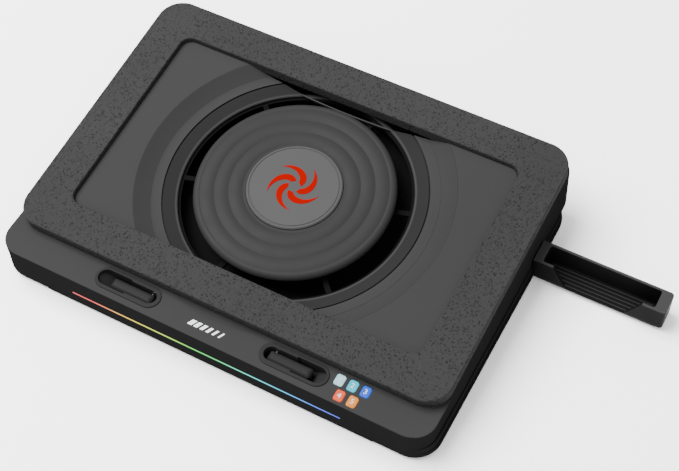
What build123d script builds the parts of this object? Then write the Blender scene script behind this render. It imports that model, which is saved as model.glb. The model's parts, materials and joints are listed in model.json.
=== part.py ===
from build123d import *
from math import cos, radians, sin
import os

os.makedirs("parts", exist_ok=True)

# ---------------------------------------------------------------- driving dimensions (mm)
BASE_W, BASE_D, BASE_R = 394.8, 272.0, 20.0      # flat base: width, depth, corner radius
BASE_TOP = 36.8                                  # level top of the base and its front strip
SEAM_Z = 17.0                                    # joint between the two shells
FLOOR_Z, FLOOR_T = 2.3, 2.2                      # underside of the bottom shell, its floor
SIDE_STEP, STEP_Z = 1.6, 8.5                     # two steps of the bottom shell's sides
WALL = 2.2                                       # moulded wall thickness
GAP = 0.3                                        # clearance between separate pieces
TILT = 5.2                                       # slope of the deck and seal, degrees

SEAL_W, SEAL_D, SEAL_T, SEAL_R = 393.0, 253.5, 10.8, 22.0
WELL_W, WELL_D, WELL_R = 323.5, 187.5, 10.0      # opening inside the seal
WELL_T, WELL_GAP = 5.0, 0.4                      # the raised deck inside it: depth, room all round
STRIP_D = 26.6                                   # front strip left open ahead of the seal

DISH_R, RAMP_R, DISH_FLAT_R, GROOVE_R, THROAT_R = 134.2, 120.8, 118.0, 111.4, 99.0
DISH_GAP = 0.12                                  # joint between dish and raised deck
DISH_CUT = 117.7                                 # straight front and back edges of the dish
COVER_R, EMBLEM_R = 85.0, 40.4
RIPPLE = 12.0                                    # pitch of the rings on the fan cover

FAN_R, EYE_R = 78.0, 48.0                        # impeller tip, intake eye
HOUSING_R = 101.6
BLADES = 31

STOP_X, STOP_DY = 76.6, 11.1                     # stopper centre: from the middle, from the seal
STOP_L, STOP_W = 60.0, 20.0                      # rim of the stopper recess
ARM_L, ARM_W, ARM_T, ARM_ROUND = 39.0, 10.0, 8.4, 3.9   # folding arm

KEY_W, KEY_D, KEY_TRAVEL = 7.4, 9.4, 0.5
KEY_PITCH, KEY_ROW, KEY_STAGGER = 11.2, 12.0, 5.9
KEY_X, KEY_DY = 114.4, 6.7                       # first key: from the middle, from the seal

GUIDE_L, GUIDE_H, GUIDE_Z = 249.0, 2.0, 16.6

TRAY_IN, TRAY_OUT, TRAY_W, TRAY_H = 198.6, 312.0, 21.6, 24.3
TRAY_Y, TRAY_Z, TRAY_WALL = 69.6, 3.0, 2.2       # tray's middle line and underside

# ---------------------------------------------------------------- where things stand
SLOPE = radians(TILT)
NORMAL = (0, -sin(SLOPE), cos(SLOPE))
PAD_X = -(TRAY_OUT - BASE_W / 2 - 2 * SIDE_STEP) / 2     # the origin is under the middle of the whole
SEAL_FRONT = -BASE_D / 2 + STRIP_D               # object, tray out; the pad's middle is here
LIP = 1.25                                       # plateau stands this far outside the seal
AXIS_Y = SEAL_FRONT + SEAL_D / 2 * cos(SLOPE)
AXIS_Z = BASE_TOP + SEAL_T * cos(SLOPE) + SEAL_D / 2 * sin(SLOPE)
REAR_Y = AXIS_Y + (SEAL_D / 2 + LIP) * cos(SLOPE) + SEAL_T * sin(SLOPE)
PAD_Y = -(REAR_Y - BASE_D / 2) / 2


def level(height):
    """Horizontal plane over the pad's middle."""
    return Plane(origin=(PAD_X, PAD_Y, height), x_dir=(1, 0, 0), z_dir=(0, 0, 1))


def sloped(depth):
    """Plane along the seal's top face, the given depth under it, centred on the fan."""
    middle = (PAD_X, PAD_Y + AXIS_Y + depth * sin(SLOPE), AXIS_Z - depth * cos(SLOPE))
    return Plane(origin=middle, x_dir=(1, 0, 0), z_dir=NORMAL)


def facing_front(y):
    """Upright plane that faces the user: X right, Y up."""
    return Plane(origin=(PAD_X, PAD_Y + y, 0), x_dir=(1, 0, 0), z_dir=(0, -1, 0))


def facing_side(x):
    """Upright plane that faces right: X back, Y up."""
    return Plane(origin=(PAD_X + x, PAD_Y, 0), x_dir=(0, 1, 0), z_dir=(1, 0, 0))


def deck_height(y):
    """Height of the sloped deck above the table at a distance y behind the middle."""
    return BASE_TOP + (y - SEAL_FRONT) * sin(SLOPE) / cos(SLOPE)


FAN_AXIS = Axis((PAD_X, PAD_Y + AXIS_Y, AXIS_Z), NORMAL)
RADIAL = Plane(origin=(PAD_X, PAD_Y + AXIS_Y, AXIS_Z), x_dir=(1, 0, 0),
               z_dir=(0, -cos(SLOPE), -sin(SLOPE)))
FAN_MID = AXIS_Y + (AXIS_Z - FLOOR_Z) * sin(SLOPE) / cos(SLOPE)   # the axis meets the floor here


def turned(points):
    """Closed outline of radius and height turned about the fan's axis."""
    with BuildPart() as piece:
        with BuildSketch(RADIAL):
            with BuildLine():
                Polyline(*points, close=True)
            make_face()
        revolve(axis=FAN_AXIS)
    return piece.part


# ---------------------------------------------------------------- screw posts
POSTS = [(sx * 186, y) for sx in (-1, 1) for y in (-112, -30, 40, 112)]
POST_R, SCREW_R, HEAD_R, HEAD_H = 4.0, 1.4, 2.8, 1.8

# ---------------------------------------------------------------- openings shared by the shells
STOP_Y = SEAL_FRONT - STOP_DY
KEYS = [(KEY_X + i * KEY_PITCH, SEAL_FRONT - KEY_DY) for i in range(3)]
KEYS += [(KEY_X + KEY_STAGGER + i * KEY_PITCH, SEAL_FRONT - KEY_DY - KEY_ROW) for i in range(2)]
STOPPERS = {"left": -1, "right": 1}
TUB_L, TUB_W = STOP_L - 3.4, STOP_W - 3.4        # hole in the top shell for a stopper tub
# socket: (distance from the middle, width, height)
PORTS = {"usb_socket_1": (-96, 13.4, 6.6), "usb_socket_2": (-74, 13.4, 6.6), "dc_socket": (-54, 8.4, 8.4)}
PANEL_X, PANEL_W, PANEL_H, PORT_Z = -75.0, 72.0, 12.6, 9.8

FASCIA_W, FASCIA_TOP, FASCIA_T = 305.0, BASE_TOP - 1.4, 1.2
WINDOW_LOW, WINDOW_HIGH = GUIDE_Z - 7.0, GUIDE_Z + 7.0
with BuildPart() as fascia_recess:
    with BuildSketch(facing_front(-BASE_D / 2)):
        with Locations((0, FASCIA_TOP / 2)):
            Rectangle(FASCIA_W, FASCIA_TOP)
    extrude(amount=-FASCIA_T)
    # window for the light bar behind the fascia
    with BuildSketch(facing_front(-BASE_D / 2)):
        with Locations((0, (WINDOW_LOW + WINDOW_HIGH) / 2)):
            Rectangle(GUIDE_L + 16, WINDOW_HIGH - WINDOW_LOW)
    extrude(amount=-WALL - 0.5)

with BuildPart() as tray_slot:
    with BuildSketch(facing_side(BASE_W / 2 - 8)):
        with Locations((TRAY_Y, TRAY_Z + TRAY_H / 2)):
            Rectangle(TRAY_W + 2 * GAP, TRAY_H + 2 * GAP)
    extrude(amount=12)

# ---------------------------------------------------------------- top shell
RAKE_TOP, RAKE_FOOT = REAR_Y, BASE_D / 2
with BuildPart() as below_rake:
    with BuildSketch(facing_side(0)):
        with BuildLine():
            Polyline((RAKE_FOOT, -1), (RAKE_FOOT, BASE_TOP), (RAKE_TOP + 1, deck_height(RAKE_TOP) - 4),
                     (RAKE_TOP + 30, deck_height(RAKE_TOP) - 4), (RAKE_TOP + 30, -1), close=True)
        make_face()
    extrude(amount=BASE_W, both=True)
with BuildPart() as below_rake_inside:
    with BuildSketch(facing_side(0)):
        with BuildLine():
            Polyline((RAKE_FOOT - WALL, -1), (RAKE_FOOT - WALL, BASE_TOP),
                     (RAKE_TOP - WALL, deck_height(RAKE_TOP) - 6.2),
                     (RAKE_TOP + 30, deck_height(RAKE_TOP) - 6.2),
                     (RAKE_TOP + 30, -1), close=True)
        make_face()
    extrude(amount=BASE_W, both=True)


def wedge(inset, depth, cutter, bottom):
    """The sloped plateau, or the space inside it."""
    with BuildPart() as body:
        with BuildSketch(sloped(depth)):
            RectangleRounded(SEAL_W + 2 * (LIP - inset), SEAL_D + 2 * (LIP - inset), SEAL_R + LIP - inset)
        extrude(amount=-60)
        split(bisect_by=level(bottom))
        add(cutter, mode=Mode.SUBTRACT)
    return body.part


RAISED_W, RAISED_D = (size - 2 * WELL_GAP - 2 * WALL for size in (WELL_W, WELL_D))   # hollow under it
with BuildPart() as top_shell:
    with BuildSketch(level(SEAM_Z)):
        RectangleRounded(BASE_W, BASE_D, BASE_R)
    extrude(amount=BASE_TOP - SEAM_Z)
    fillet(top_shell.edges().group_by(Axis.Z)[-1], radius=0.9)
    add(wedge(0, SEAL_T, below_rake.part, SEAM_Z))
    # the space inside: under the level top, then under the sloped deck
    with BuildSketch(level(SEAM_Z)):
        RectangleRounded(BASE_W - 2 * WALL, BASE_D - 2 * WALL, BASE_R - WALL)
    extrude(amount=BASE_TOP - WALL - SEAM_Z, mode=Mode.SUBTRACT)
    add(wedge(WALL, SEAL_T + WALL, below_rake_inside.part, SEAM_Z), mode=Mode.SUBTRACT)
    # the deck stands higher inside the seal, and is hollow below
    with BuildSketch(sloped(WELL_T)):
        RectangleRounded(WELL_W - 2 * WELL_GAP, WELL_D - 2 * WELL_GAP, WELL_R - WELL_GAP)
    extrude(amount=WELL_T - SEAL_T)
    with BuildSketch(sloped(WELL_T + WALL)):
        RectangleRounded(RAISED_W, RAISED_D, WELL_R - WELL_GAP - WALL)
    extrude(amount=WELL_T - SEAL_T - 0.1, mode=Mode.SUBTRACT)
    # bosses that take the case screws
    for x, y in POSTS:
        with BuildSketch(level(SEAM_Z)):
            with Locations((x, y)):
                Circle(POST_R)
                Circle(SCREW_R, mode=Mode.SUBTRACT)
        extrude(amount=(deck_height(y) if y > SEAL_FRONT else BASE_TOP) - 1.2 - SEAM_Z)
    # round opening for the dish, straight at front and back
    with BuildSketch(sloped(SEAL_T)):
        Circle(DISH_R + DISH_GAP)
        Rectangle(2 * DISH_R + 2, 2 * (DISH_CUT + GAP), mode=Mode.INTERSECT)
    extrude(amount=-3 * WALL, both=True, mode=Mode.SUBTRACT)
    # stopper tubs and keys
    with BuildSketch(level(BASE_TOP)):
        for side in STOPPERS.values():
            with Locations((side * STOP_X, STOP_Y)):
                SlotOverall(TUB_L, TUB_W)
        with Locations(*KEYS):
            RectangleRounded(KEY_W + 2 * GAP, KEY_D + 2 * GAP, 1.8 + GAP)
    extrude(amount=-2 * WALL, both=True, mode=Mode.SUBTRACT)
    add(tray_slot.part, mode=Mode.SUBTRACT)
    add(fascia_recess.part, mode=Mode.SUBTRACT)
top_shell.part.label = "top_shell"
export_step(top_shell.part, "parts/top_shell.step")

# ---------------------------------------------------------------- bottom shell
FOOT_X, FOOT_Y, FOOT_L, FOOT_W = 158.0, 112.0, 34.0, 12.0
INTAKE_R = 71.0
with BuildPart() as bottom_shell:
    with BuildSketch(level(FLOOR_Z)):
        RectangleRounded(BASE_W + 4 * SIDE_STEP, BASE_D, BASE_R + 2 * SIDE_STEP)
    extrude(amount=STEP_Z - FLOOR_Z)
    fillet(bottom_shell.edges().group_by(Axis.Z)[0], radius=2.4)
    fillet(bottom_shell.edges().group_by(Axis.Z)[-1], radius=0.5)
    with BuildSketch(level(STEP_Z - 1)):
        RectangleRounded(BASE_W + 2 * SIDE_STEP, BASE_D, BASE_R + SIDE_STEP)
    extrude(amount=SEAM_Z - STEP_Z + 1)
    # the floor steps down to a shallow foot at each corner
    with BuildSketch(level(FLOOR_Z)):
        RectangleRounded(BASE_W - 8, BASE_D - 8, BASE_R - 4)
        Rectangle(BASE_W, BASE_D - 90, mode=Mode.SUBTRACT)
        Rectangle(FASCIA_W, BASE_D, mode=Mode.SUBTRACT)
    extrude(amount=1.6 - FLOOR_Z)
    with BuildSketch(level(FLOOR_Z + FLOOR_T)):
        RectangleRounded(BASE_W + 2 * (SIDE_STEP - WALL), BASE_D - 2 * WALL, BASE_R + SIDE_STEP - WALL)
    extrude(amount=SEAM_Z - FLOOR_Z, mode=Mode.SUBTRACT)
    for x, y in POSTS:
        with BuildSketch(level(FLOOR_Z + 1)):
            with Locations((x, y)):
                Circle(POST_R + 0.6)
        extrude(amount=SEAM_Z - FLOOR_Z - 1.2)
    # screw holes with a deep counterbore from below
    with BuildSketch(level(0)):
        with Locations(*POSTS):
            Circle(SCREW_R + 0.1)
    extrude(amount=SEAM_Z, mode=Mode.SUBTRACT)
    with BuildSketch(level(0)):
        with Locations(*POSTS):
            Circle(HEAD_R + GAP)
    extrude(amount=SEAM_Z - 8, mode=Mode.SUBTRACT)
    # air intake under the fan
    with BuildSketch(level(0)):
        with Locations((0, FAN_MID)):
            Circle(INTAKE_R)
    extrude(amount=FLOOR_Z + FLOOR_T, mode=Mode.SUBTRACT)
    # pockets for the rubber feet
    with BuildSketch(level(0)):
        for sx in (-1, 1):
            for sy in (-1, 1):
                with Locations((sx * FOOT_X, sy * FOOT_Y)):
                    SlotOverall(FOOT_L + 2 * GAP, FOOT_W + 2 * GAP)
    extrude(amount=2.6, mode=Mode.SUBTRACT)
    # recess in the front wall for the fascia, and a window in the rear for the sockets
    add(fascia_recess.part, mode=Mode.SUBTRACT)
    with BuildSketch(facing_front(BASE_D / 2)):
        with Locations((PANEL_X, PORT_Z)):
            Rectangle(PANEL_W - 6, PANEL_H - 4)
    extrude(amount=WALL + 2, both=True, mode=Mode.SUBTRACT)
    with BuildSketch(facing_front(BASE_D / 2)):
        with Locations((PANEL_X, PORT_Z)):
            Rectangle(PANEL_W, PANEL_H)
    extrude(amount=1.2, mode=Mode.SUBTRACT)
    add(tray_slot.part, mode=Mode.SUBTRACT)
    # the tray runs in a channel that thins the floor
    with BuildSketch(level(TRAY_Z - GAP)):
        with Locations(((TRAY_IN + 92) / 2, TRAY_Y)):
            Rectangle(TRAY_IN - 92, TRAY_W + 2 * GAP)
    extrude(amount=6, mode=Mode.SUBTRACT)
bottom_shell.part.label = "bottom_shell"
export_step(bottom_shell.part, "parts/bottom_shell.step")

# ---------------------------------------------------------------- rubber feet and case screws
CORNERS = {"front_left": (-1, -1), "front_right": (1, -1), "rear_left": (-1, 1), "rear_right": (1, 1)}
for name, (sx, sy) in CORNERS.items():
    with BuildPart() as foot:
        with BuildSketch(level(0)):
            with Locations((sx * FOOT_X, sy * FOOT_Y)):
                SlotOverall(FOOT_L, FOOT_W)
        extrude(amount=2.6)
        chamfer(foot.edges().group_by(Axis.Z)[0], length=0.5)
    foot.part.label = f"rubber_foot_{name}"
    export_step(foot.part, f"parts/rubber_foot_{name}.step")

with BuildPart() as case_screws:
    for x, y in POSTS:
        with BuildSketch(level(SEAM_Z - 8 - HEAD_H)):
            with Locations((x, y)):
                Circle(HEAD_R)
        extrude(amount=HEAD_H)
        with BuildSketch(level(SEAM_Z - 8)):
            with Locations((x, y)):
                Circle(SCREW_R - 0.05)
        extrude(amount=12)
    with BuildSketch(level(SEAM_Z - 8 - HEAD_H)):
        with Locations(*POSTS):
            Rectangle(3.2, 0.7)
            Rectangle(0.7, 3.2)
    extrude(amount=1.0, mode=Mode.SUBTRACT)
case_screws.part.label = "case_screws"
export_step(case_screws.part, "parts/case_screws.step")

# ---------------------------------------------------------------- foam seal
with BuildPart() as foam_seal:
    with BuildSketch(sloped(SEAL_T)):
        RectangleRounded(SEAL_W, SEAL_D, SEAL_R)
        RectangleRounded(WELL_W, WELL_D, WELL_R, mode=Mode.SUBTRACT)
    extrude(amount=SEAL_T)
foam_seal.part.label = "foam_seal"
export_step(foam_seal.part, "parts/foam_seal.step")

# ---------------------------------------------------------------- dish around the fan's outlet
DISH_Z, LIP_Z, SKIRT_Z, SKIN = -12.0, -15.4, -21.3, 2.2
POCKET_X, POCKET_Y, POCKET_MID, POCKET_BACK = 90.0, 95.0, 89.5, 101.0
EAR_R, EARS, EAR_SCREW = 106.5, 4, 1.2
dish_outline = [
    (THROAT_R, SKIRT_Z), (THROAT_R, LIP_Z - 0.8), (THROAT_R + 0.8, LIP_Z),
    (GROOVE_R - 0.6, DISH_Z - 0.4), (GROOVE_R - 0.6, DISH_Z - 1.6), (GROOVE_R + 0.6, DISH_Z - 1.6),
    (GROOVE_R + 0.6, DISH_Z), (DISH_FLAT_R, DISH_Z), (DISH_R, -SEAL_T), (DISH_R, -SEAL_T - SKIN - 0.1),
    (DISH_R + 5, -SEAL_T - SKIN - 0.1), (DISH_R + 5, -SEAL_T - 2 * SKIN), (DISH_R - 6, -SEAL_T - 2 * SKIN),
    (DISH_FLAT_R, DISH_Z - SKIN), (GROOVE_R, DISH_Z - SKIN - 1.4), (THROAT_R + 3, LIP_Z - 3),
    (THROAT_R + 2, SKIRT_Z),
]
rim_outline = [
    (RAMP_R, -SEAL_T + 1), (DISH_R + 6, -SEAL_T + 1), (DISH_R + 6, SKIRT_Z), (RAMP_R, SKIRT_Z),
]
ramp_outline = [
    (DISH_FLAT_R, DISH_Z - SKIN), (DISH_FLAT_R, DISH_Z), (RAMP_R, DISH_Z), (DISH_R, -WELL_T),
    (DISH_R, -WELL_T - 2 * SKIN), (RAMP_R, DISH_Z - SKIN),
]
tab_outline = [
    (DISH_R - 1, -WELL_T - SKIN - 0.1), (DISH_R + 5, -WELL_T - SKIN - 0.1), (DISH_R + 5, -WELL_T - 2 * SKIN),
    (DISH_R - 1, -WELL_T - 2 * SKIN),
]
end_outline = [
    (RAMP_R - 1, DISH_Z - 1), (DISH_R, -WELL_T - SKIN), (DISH_R, -SEAL_T - SKIN), (RAMP_R - 1, DISH_Z - SKIN),
]


def between(inner, outer):
    """Two bars across the dish, front and back, between two distances from its middle."""
    with BuildPart() as bars:
        with BuildSketch(sloped(-SKIRT_Z + 1)):
            Rectangle(2 * DISH_R + 12, 2 * outer)
            if inner:
                Rectangle(2 * DISH_R + 12, 2 * inner, mode=Mode.SUBTRACT)
        extrude(amount=24)
    return bars.part


with BuildPart() as deck_dish:
    add(turned(dish_outline))
    # under the seal the rim stays flat, and inside it the rim ramps up to the raised deck
    add(turned(rim_outline) & between(0, RAISED_D / 2), mode=Mode.SUBTRACT)
    add(turned(ramp_outline) & between(0, RAISED_D / 2 + WALL))
    add(turned(tab_outline) & between(0, RAISED_D / 2 - GAP))
    add(turned(end_outline) & between(RAISED_D / 2, RAISED_D / 2 + WALL))
    # bosses for the four screws that hold the fan housing
    with BuildSketch(sloped(-SKIRT_Z + 0.1)):
        with PolarLocations(EAR_R, EARS, start_angle=45):
            Circle(3.6)
    extrude(amount=5)
    with BuildSketch(sloped(-SKIRT_Z + 0.1)):
        with PolarLocations(EAR_R, EARS, start_angle=45):
            Circle(EAR_SCREW + 0.05)
    extrude(amount=4, mode=Mode.SUBTRACT)
    add(between(0, DISH_CUT), mode=Mode.INTERSECT)
    # thin bar that sags across the outlet, front and back
    with BuildSketch(sloped(17.4)):
        for s in (-1, 1):
            with BuildLine():
                ThreePointArc((-POCKET_X, s * (POCKET_Y - 1.2)), (0, s * (POCKET_MID - 1.2)),
                              (POCKET_X, s * (POCKET_Y - 1.2)))
                Polyline((POCKET_X, s * (POCKET_Y - 1.2)), (POCKET_X, s * (POCKET_Y + 2)),
                         (-POCKET_X, s * (POCKET_Y + 2)), (-POCKET_X, s * (POCKET_Y - 1.2)))
            make_face()
    extrude(amount=2.4)
    # pocket behind the bar, under the seal's edge
    with BuildSketch(sloped(18.2)):
        for s in (-1, 1):
            with BuildLine():
                ThreePointArc((-POCKET_X, s * POCKET_Y), (0, s * POCKET_MID), (POCKET_X, s * POCKET_Y))
                Polyline((POCKET_X, s * POCKET_Y), (POCKET_X, s * POCKET_BACK),
                         (-POCKET_X, s * POCKET_BACK), (-POCKET_X, s * POCKET_Y))
            make_face()
    extrude(amount=9, mode=Mode.SUBTRACT)
deck_dish.part.label = "deck_dish"
export_step(deck_dish.part, "parts/deck_dish.step")

# ---------------------------------------------------------------- fan cover and its emblem disc
COVER_TOP, SEAT_Z, COVER_SKIN = -5.0, -7.4, 2.2
FIRST_VALLEY = 43.0
with BuildPart() as fan_cover:
    with BuildSketch(RADIAL):
        with BuildLine():
            Polyline((0, SEAT_Z), (EMBLEM_R + 0.4, SEAT_Z), (EMBLEM_R + 0.4, COVER_TOP - 1),
                     (FIRST_VALLEY, COVER_TOP - 1))
            for i in range(3):
                r = FIRST_VALLEY + i * RIPPLE
                ThreePointArc((r, COVER_TOP - 1), (r + RIPPLE / 2, COVER_TOP), (r + RIPPLE, COVER_TOP - 1))
            ThreePointArc((FIRST_VALLEY + 3 * RIPPLE, COVER_TOP - 1), (COVER_R - 1.5, COVER_TOP - 1.9),
                          (COVER_R, COVER_TOP - 4.4))
            Polyline((COVER_R, COVER_TOP - 4.4), (COVER_R, -10.6), (COVER_R - 1.6, -11.8),
                     (COVER_R - 2.6, -11.8), (COVER_R - 4.6, SEAT_Z - COVER_SKIN), (0, SEAT_Z - COVER_SKIN),
                     (0, SEAT_Z))
        make_face()
    revolve(axis=FAN_AXIS)
fan_cover.part.label = "fan_cover"
export_step(fan_cover.part, "parts/fan_cover.step")

EMBLEM_TOP = -4.3
with BuildPart() as emblem_disc:
    add(turned([(0, SEAT_Z + 0.05), (EMBLEM_R, SEAT_Z + 0.05), (EMBLEM_R, EMBLEM_TOP - 0.9),
                (EMBLEM_R - 0.9, EMBLEM_TOP), (EMBLEM_R - 2.0, EMBLEM_TOP),
                (EMBLEM_R - 2.4, EMBLEM_TOP - 0.5), (EMBLEM_R - 3.0, EMBLEM_TOP - 0.5),
                (EMBLEM_R - 3.4, EMBLEM_TOP), (0, EMBLEM_TOP)]))
emblem_disc.part.label = "emblem_disc"
export_step(emblem_disc.part, "parts/emblem_disc.step")

# ---------------------------------------------------------------- spider that carries cover and motor
SPIDER_TOP, SPIDER_BOTTOM, HUB_R, ARMS = -18.2, -21.2, 26.0, 6
with BuildPart() as cover_spider:
    with BuildSketch(sloped(-SPIDER_BOTTOM)):
        Circle(HUB_R)
        Circle(THROAT_R - GAP)
        Circle(THROAT_R - 2.2, mode=Mode.SUBTRACT)
        Circle(HUB_R)
        with PolarLocations(60, ARMS, start_angle=15):
            Rectangle(76, 4.5)
    extrude(amount=SPIDER_TOP - SPIDER_BOTTOM)
    with BuildSketch(sloped(-SPIDER_TOP)):
        Circle(10)
        with PolarLocations(62, ARMS, start_angle=15):
            Circle(2.2)
    extrude(amount=SEAT_Z - COVER_SKIN - SPIDER_TOP)
cover_spider.part.label = "cover_spider"
export_step(cover_spider.part, "parts/cover_spider.step")

# ---------------------------------------------------------------- motor
BEARING_R, SHAFT_R, TUBE_R = 4.0, 1.5, 5.5
STATOR_R, CUP_R, CUP_T = 21.6, 24.2, 1.2
STATOR_TOP, STATOR_BOTTOM, CUP_BOTTOM = -23.4, -30.8, -33.6
with BuildPart() as bearing_tube:
    add(turned([(BEARING_R, SPIDER_BOTTOM), (TUBE_R, SPIDER_BOTTOM), (TUBE_R, -31.4), (BEARING_R, -31.4)]))
bearing_tube.part.label = "bearing_tube"
export_step(bearing_tube.part, "parts/bearing_tube.step")

for name, top in (("upper", -21.8), ("lower", -27.8)):
    with BuildPart() as bearing:
        add(turned([(SHAFT_R + 0.05, top), (BEARING_R, top), (BEARING_R, top - 3),
                    (SHAFT_R + 0.05, top - 3)]))
    bearing.part.label = f"bearing_{name}"
    export_step(bearing.part, f"parts/bearing_{name}.step")

SLOTS = 9
with BuildPart() as motor_stator:
    with BuildSketch(sloped(-STATOR_BOTTOM)):
        Circle(STATOR_R)
        with PolarLocations(15.5, SLOTS):
            Rectangle(8.4, 2.6, mode=Mode.SUBTRACT)
        with PolarLocations(STATOR_R, SLOTS):
            Rectangle(6, 1.0, mode=Mode.SUBTRACT)
        Circle(TUBE_R, mode=Mode.SUBTRACT)
    extrude(amount=STATOR_TOP - STATOR_BOTTOM)
motor_stator.part.label = "motor_stator"
export_step(motor_stator.part, "parts/motor_stator.step")

with BuildPart() as rotor_cup:
    add(turned([(SHAFT_R, CUP_BOTTOM), (CUP_R, CUP_BOTTOM), (CUP_R, -22.8), (CUP_R - CUP_T, -22.8),
                (CUP_R - CUP_T, CUP_BOTTOM + CUP_T), (SHAFT_R, CUP_BOTTOM + CUP_T)]))
rotor_cup.part.label = "rotor_cup"
export_step(rotor_cup.part, "parts/rotor_cup.step")

with BuildPart() as fan_shaft:
    add(turned([(0, CUP_BOTTOM), (SHAFT_R, CUP_BOTTOM), (SHAFT_R, -21.6), (0, -21.6)]))
fan_shaft.part.label = "fan_shaft"
export_step(fan_shaft.part, "parts/fan_shaft.step")

# ---------------------------------------------------------------- impeller
PLATE_TOP, PLATE_T, BLADE_BOTTOM, BLADE_IN = -22.2, 1.2, -34.4, 52.0
with BuildPart() as impeller:
    add(turned([(CUP_R + 0.02, CUP_BOTTOM), (CUP_R + 1.8, CUP_BOTTOM), (CUP_R + 1.8, PLATE_TOP - PLATE_T),
                (FAN_R, PLATE_TOP - PLATE_T), (FAN_R, PLATE_TOP), (CUP_R + 0.02, PLATE_TOP)]))
    # forward-curved blades hang from the plate and end in a ring
    with BuildSketch(sloped(-BLADE_BOTTOM)):
        with PolarLocations(0, BLADES):
            with BuildLine():
                ThreePointArc((BLADE_IN, 0), (64, 5.2), (FAN_R - 0.8, 3.6))
                Line((FAN_R - 0.8, 3.6), (FAN_R - 0.6, 4.9))
                ThreePointArc((FAN_R - 0.6, 4.9), (64, 6.5), (BLADE_IN - 0.4, 1.1))
                Line((BLADE_IN - 0.4, 1.1), (BLADE_IN, 0))
            make_face()
    extrude(amount=PLATE_TOP - 0.6 - BLADE_BOTTOM)
    with BuildSketch(sloped(-BLADE_BOTTOM)):
        Circle(FAN_R)
        Circle(FAN_R - 9, mode=Mode.SUBTRACT)
    extrude(amount=1.0)
impeller.part.label = "impeller"
export_step(impeller.part, "parts/impeller.step")

# ---------------------------------------------------------------- fan housing
HOUSE_BOTTOM, HOUSE_SKIN = -37.4, 1.2
with BuildPart() as fan_housing:
    add(turned([(EYE_R + 3, HOUSE_BOTTOM), (HOUSING_R, HOUSE_BOTTOM), (HOUSING_R, SKIRT_Z - 0.2),
                (HOUSING_R - HOUSE_SKIN, SKIRT_Z - 0.2), (HOUSING_R - HOUSE_SKIN, HOUSE_BOTTOM + HOUSE_SKIN),
                (EYE_R + 3, HOUSE_BOTTOM + HOUSE_SKIN)]))
    with BuildSketch(sloped(-SKIRT_Z + 2.8)):
        with PolarLocations(EAR_R, EARS, start_angle=45):
            Circle(5)
        Circle(HOUSING_R - 0.5, mode=Mode.SUBTRACT)
    extrude(amount=2.6)
    with BuildSketch(sloped(-SKIRT_Z + 2.8)):
        with PolarLocations(EAR_R, EARS, start_angle=45):
            Circle(EAR_SCREW + 0.1)
    extrude(amount=2.6, mode=Mode.SUBTRACT)
fan_housing.part.label = "fan_housing"
export_step(fan_housing.part, "parts/fan_housing.step")

with BuildPart() as housing_screws:
    with BuildSketch(sloped(-SKIRT_Z + 4.4)):
        with PolarLocations(EAR_R, EARS, start_angle=45):
            Circle(2.4)
    extrude(amount=1.6)
    with BuildSketch(sloped(-SKIRT_Z + 2.8)):
        with PolarLocations(EAR_R, EARS, start_angle=45):
            Circle(EAR_SCREW)
    extrude(amount=6)
housing_screws.part.label = "housing_screws"
export_step(housing_screws.part, "parts/housing_screws.step")

# ---------------------------------------------------------------- air intake
with BuildPart() as intake_grille:
    with BuildSketch(level(FLOOR_Z)):
        with Locations((0, FAN_MID)):
            Circle(INTAKE_R - GAP)
            Circle(INTAKE_R - 5, mode=Mode.SUBTRACT)
            for r in (54, 42, 30, 18):
                Circle(r + 1)
                Circle(r - 1, mode=Mode.SUBTRACT)
            Circle(8)
        with Locations((0, FAN_MID)):
            with PolarLocations(37, 12):
                Rectangle(61, 2)
    extrude(amount=2.0)
intake_grille.part.label = "intake_grille"
export_step(intake_grille.part, "parts/intake_grille.step")

with BuildPart() as dust_filter:
    with BuildSketch(level(FLOOR_Z + FLOOR_T + 0.1)):
        with Locations((0, FAN_MID)):
            Circle(INTAKE_R + 3)
    extrude(amount=0.7)
dust_filter.part.label = "dust_filter"
export_step(dust_filter.part, "parts/dust_filter.step")

# ---------------------------------------------------------------- light bar in the front face
FRONT = -BASE_D / 2
FASCIA_LOW = FLOOR_Z + 0.4
with BuildPart() as front_fascia:
    with BuildSketch(facing_front(FRONT)):
        with Locations((0, (FASCIA_TOP + FASCIA_LOW) / 2)):
            Rectangle(FASCIA_W - GAP, FASCIA_TOP - FASCIA_LOW - GAP)
        with Locations((0, GUIDE_Z)):
            Rectangle(GUIDE_L, GUIDE_H, mode=Mode.SUBTRACT)
    extrude(amount=-FASCIA_T)
front_fascia.part.label = "front_fascia"
export_step(front_fascia.part, "parts/front_fascia.step")

with BuildPart() as light_guide:
    with BuildSketch(facing_front(FRONT)):
        with Locations((0, GUIDE_Z)):
            Rectangle(GUIDE_L, GUIDE_H)
    extrude(amount=-2.8)
light_guide.part.label = "light_guide"
export_step(light_guide.part, "parts/light_guide.step")

LEDS, LED_PITCH = 24, 10.2
with BuildPart() as light_board:
    with BuildSketch(facing_front(FRONT + 3.8)):
        with Locations((0, GUIDE_Z - 1)):
            Rectangle(GUIDE_L + 4, 9)
    extrude(amount=-1.0)
    with BuildSketch(facing_front(FRONT + 2.9)):
        with Locations((0, GUIDE_Z)):
            with GridLocations(LED_PITCH, 1, LEDS, 1):
                Rectangle(3.2, 2.6)
    extrude(amount=-0.9)
light_board.part.label = "light_board"
export_step(light_board.part, "parts/light_board.step")

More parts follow.
